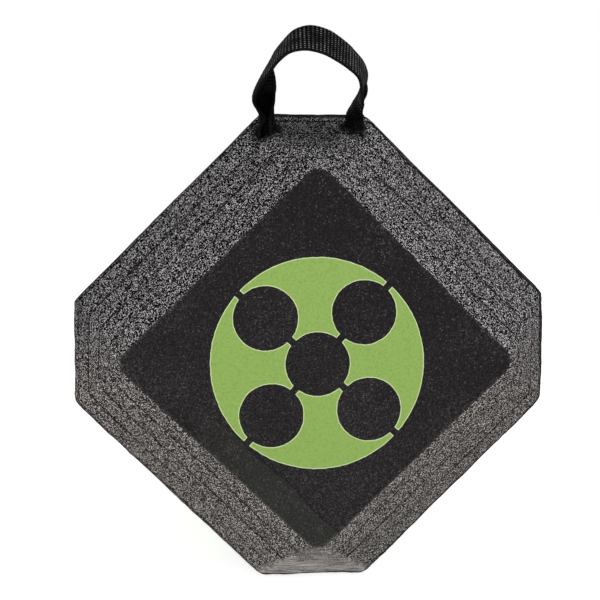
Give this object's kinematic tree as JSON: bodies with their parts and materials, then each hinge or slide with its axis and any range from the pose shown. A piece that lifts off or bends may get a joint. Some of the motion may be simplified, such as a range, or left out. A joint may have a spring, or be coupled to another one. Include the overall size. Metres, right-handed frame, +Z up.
{
  "type": "archery target",
  "caption": "Cube of laminated closed-cell foam with bevelled edges and corners, printed aiming marks and a webbing carrying handle, standing on one bevel.",
  "frame": {"origin": "middle of the flat bevel that the block stands on", "axes": "+Z up through the carrying handle's corner, -Y out of the printed front face with five spots, +X to the right as the front face is seen"},
  "size_m": [0.2658, 0.239, 0.3051],
  "materials": {
    "pressed_foam": "closed-cell foam with a dark pressed skin on its printed face, matt and finely speckled",
    "cut_foam": "sawn closed-cell foam, matt grey with a fine open grain and dark glue lines",
    "green_ink": "flat green stencilled ink with a paler rim",
    "black_webbing": "woven black polypropylene webbing, ribbed across"
  },
  "bodies": {
    "block": {"foam_sheet_01": "pressed_foam", "foam_sheet_02": "cut_foam", "foam_sheet_03": "cut_foam", "foam_sheet_04": "cut_foam", "foam_sheet_05": "cut_foam", "foam_sheet_06": "cut_foam", "foam_sheet_07": "cut_foam", "foam_sheet_08": "cut_foam", "foam_sheet_09": "cut_foam", "foam_sheet_10": "cut_foam", "foam_sheet_11": "cut_foam", "foam_sheet_12": "cut_foam", "foam_sheet_13": "cut_foam", "foam_sheet_14": "cut_foam", "foam_sheet_15": "cut_foam", "foam_sheet_16": "cut_foam", "foam_sheet_17": "cut_foam", "foam_sheet_18": "cut_foam", "foam_sheet_19": "cut_foam", "foam_sheet_20": "cut_foam", "foam_sheet_21": "cut_foam", "foam_sheet_22": "cut_foam", "foam_sheet_23": "pressed_foam", "handle_tail_left": "black_webbing", "handle_tail_right": "black_webbing", "print_five_bottom": "green_ink", "print_five_left": "green_ink", "print_five_right": "green_ink", "print_five_top": "green_ink", "print_four": "green_ink", "print_one_lower": "green_ink", "print_one_upper": "green_ink", "print_six": "green_ink", "print_three_lower": "green_ink", "print_three_upper": "green_ink", "print_two": "green_ink"},
    "handle": {"handle_loop": "black_webbing"}
  },
  "joints": [
    {"name": "handle_swing", "type": "hinge", "parent": "block", "child": "handle", "pos_m": [-0.00175, -0.085, 0.25699], "axis": [1, 0, 0], "range_deg": [-60, 60], "stiffness_Nm_per_rad": 0.05}
  ]
}
